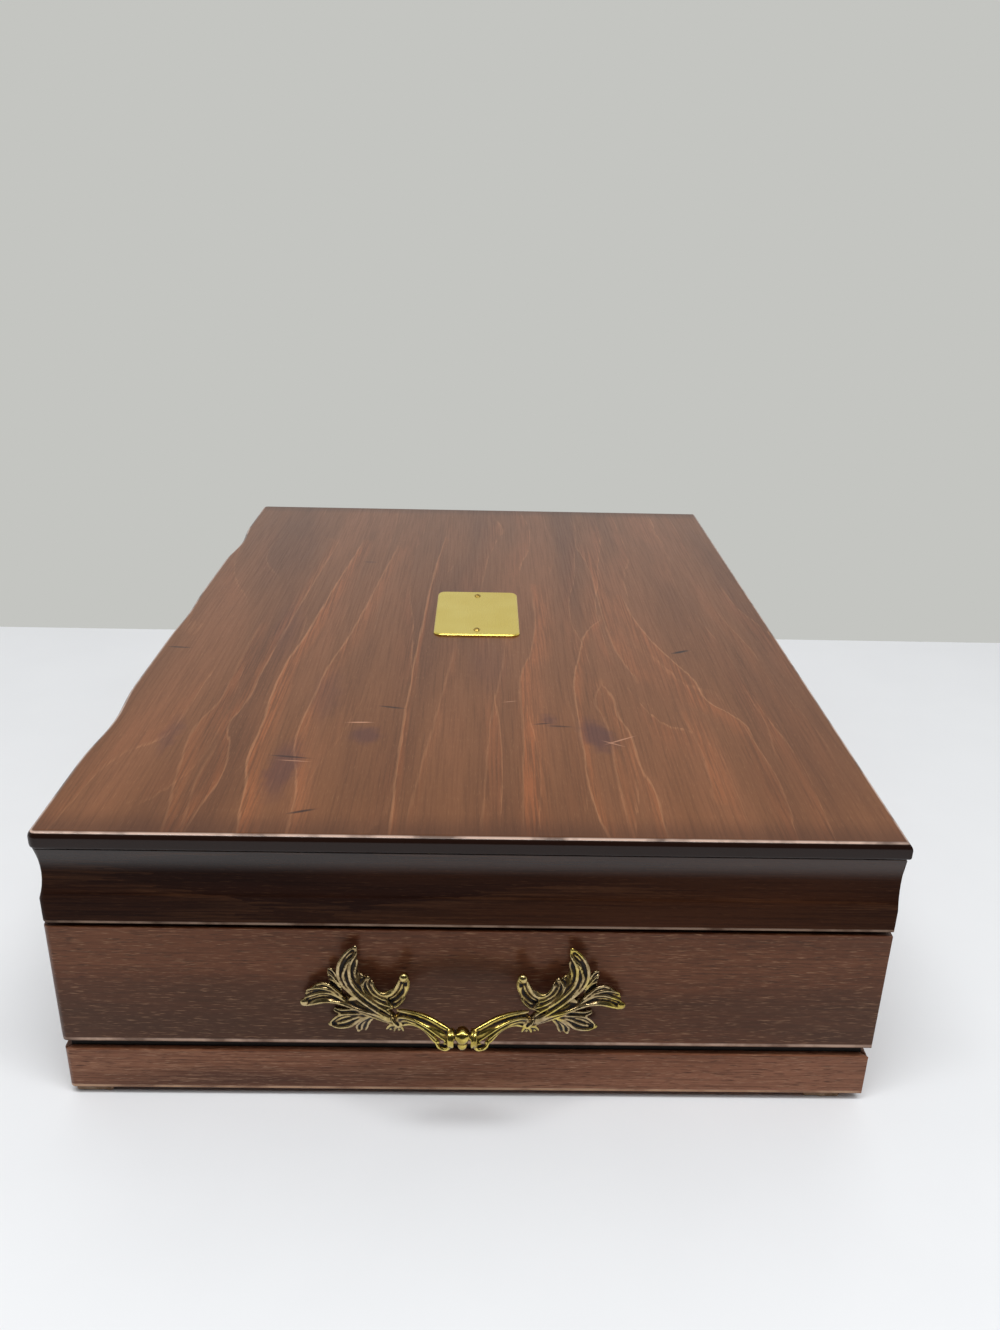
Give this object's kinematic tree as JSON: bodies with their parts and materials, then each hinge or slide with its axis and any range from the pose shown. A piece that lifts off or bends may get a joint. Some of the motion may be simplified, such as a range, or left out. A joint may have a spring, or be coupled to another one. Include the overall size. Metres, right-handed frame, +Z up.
{
  "type": "silverware chest",
  "caption": "Low wooden silverware chest with a moulded hinged lid, serpentine front, cast leaf-spray pulls and slotted bars inside for flatware.",
  "frame": {"origin": "on the surface that the felt pads stand on, under the middle of the whole outline", "axes": "+X along the length towards the right end, -Y towards the serpentine front, +Y towards the hinged back, +Z up"},
  "size_m": [0.4444, 0.2852, 0.1088],
  "materials": {
    "stained_wood": "satin lacquer",
    "stained_wood_light": "satin lacquer",
    "stained_wood_top": "satin lacquer",
    "raw_panel": "matt",
    "brass_plate": "polished",
    "antique_brass": "antiqued",
    "hinge_brass": "plated",
    "zinc_steel": "zinc plated",
    "anti_tarnish_cloth": "napped cloth",
    "felt": "felt"
  },
  "bodies": {
    "case": {"front_board": "stained_wood", "back_board": "stained_wood", "left_board": "stained_wood", "right_board": "stained_wood", "bottom_panel": "raw_panel", "plinth_front": "stained_wood_light", "plinth_back": "stained_wood_light", "plinth_left": "stained_wood_light", "plinth_right": "stained_wood_light", "foot_pads": "felt", "base_lining": "anti_tarnish_cloth", "compartment_divider": "anti_tarnish_cloth", "flatware_bar_front": "anti_tarnish_cloth", "flatware_bar_back": "anti_tarnish_cloth", "right_handle": "antique_brass", "left_handle": "antique_brass", "handle_screws": "zinc_steel", "base_hinge_leaves": "hinge_brass", "hinge_pins": "zinc_steel", "base_hinge_screws": "hinge_brass", "lid_bumpers": "felt"},
    "lid": {"lid_top_board": "stained_wood_top", "lid_front_rail": "stained_wood", "lid_back_rail": "stained_wood", "lid_left_rail": "stained_wood", "lid_right_rail": "stained_wood", "lid_lining": "anti_tarnish_cloth", "knife_bar_front": "anti_tarnish_cloth", "knife_bar_back": "anti_tarnish_cloth", "name_plate": "brass_plate", "name_plate_screws": "brass_plate", "lid_hinge_leaves": "hinge_brass", "lid_hinge_screws": "hinge_brass"}
  },
  "joints": [
    {"name": "lid_hinge", "type": "hinge", "parent": "case", "child": "lid", "pos_m": [0, 0.14037, 0.07175], "axis": [-1, 0, 0], "range_deg": [0, 100]}
  ]
}
